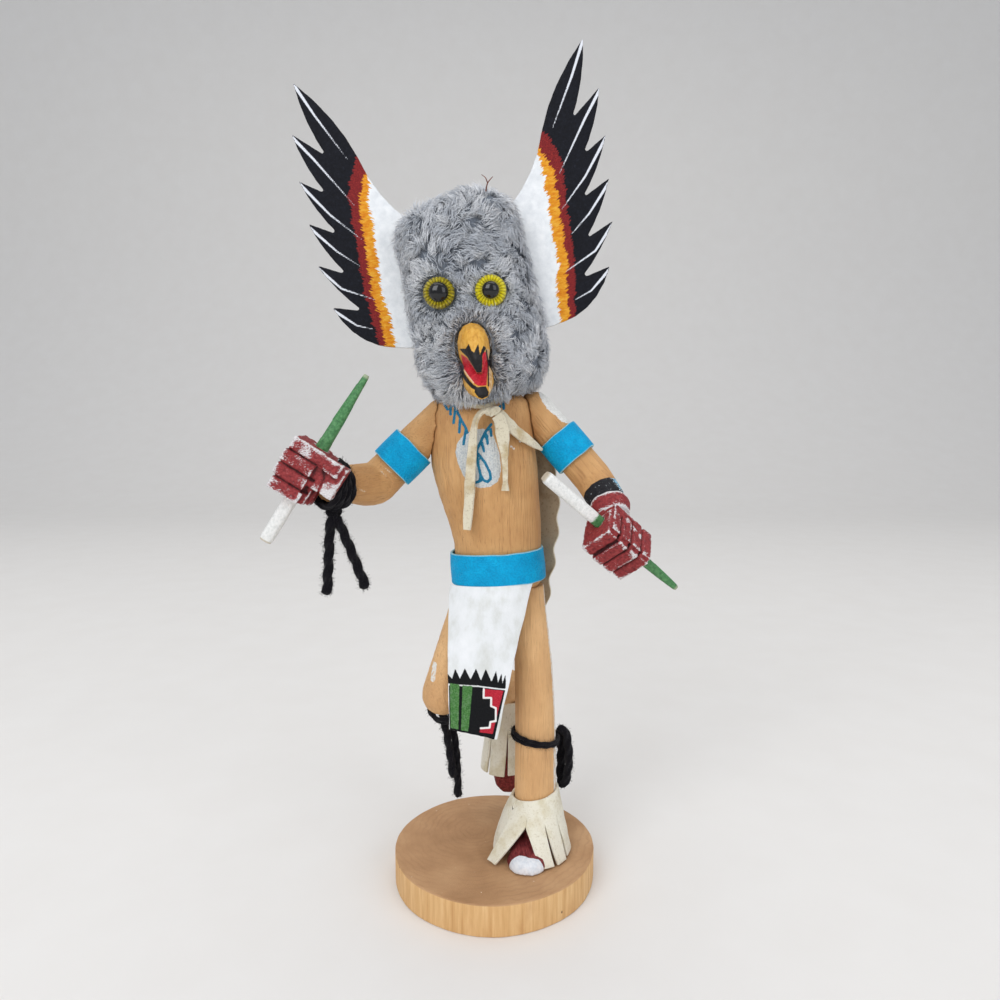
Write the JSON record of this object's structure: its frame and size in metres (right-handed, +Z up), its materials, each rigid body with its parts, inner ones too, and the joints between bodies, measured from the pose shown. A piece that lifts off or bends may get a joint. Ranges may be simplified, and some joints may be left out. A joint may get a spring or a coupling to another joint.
{
  "type": "carved kachina dancer figure",
  "caption": "Carved and painted owl-masked dancer standing on one leg on a round log slice, with spread wings, a fur mask, wands in both fists, leather apron and yarn ties.",
  "frame": {"origin": "centre of the log slice's flat underside", "axes": "+Z up through the figure, -Y toward the viewer in front of it, +X to that viewer's right"},
  "size_m": [0.1732, 0.0928, 0.375],
  "materials": {
    "base": "bare sanded log slice with growth rings",
    "body_paint": "carved wood in matte tan paint",
    "leg_paint": "carved wood in matte tan paint, red moccasins with white toes",
    "hand_paint": "carved wood in dark red paint, dry-brushed and chipped to white",
    "wand_paint": "whittled wood, painted green and white",
    "wing_paint": "flat wood painted white, orange, red-brown and black",
    "beak_paint": "carved wood painted ochre, red and black",
    "eye": "moulded yellow craft eye with a glossy black pupil",
    "fur": "grey rabbit-like fur",
    "turquoise_leather": "pebbled turquoise leather",
    "apron_leather": "white leather with a painted hem",
    "suede": "cream suede",
    "yarn": "black wool yarn"
  },
  "bodies": {
    "root": {"base_disc": "base", "torso": "body_paint", "right_arm": "body_paint", "left_arm": "body_paint", "right_hand": "hand_paint", "left_hand": "hand_paint", "right_wand": "wand_paint", "left_wand": "wand_paint", "right_armband": "turquoise_leather", "left_armband": "turquoise_leather", "right_leg": "leg_paint", "left_leg": "leg_paint", "head": "fur", "right_eye": "eye", "left_eye": "eye", "right_wing": "wing_paint", "left_wing": "wing_paint", "beak": "beak_paint", "belt": "turquoise_leather", "front_apron": "apron_leather", "cape": "suede", "right_cuff": "suede", "left_cuff": "suede", "tie_collar": "suede", "tie_knot": "suede", "tie_tail_right": "suede", "tie_tail_left": "suede", "tie_strap": "suede", "wrist_wrap": "yarn", "wrist_knot": "yarn", "right_garter": "yarn", "left_garter": "yarn", "wrist_end_a": "yarn", "wrist_end_b": "yarn", "right_garter_end_a": "yarn", "right_garter_end_b": "yarn", "left_garter_loop": "yarn"}
  },
  "joints": []
}
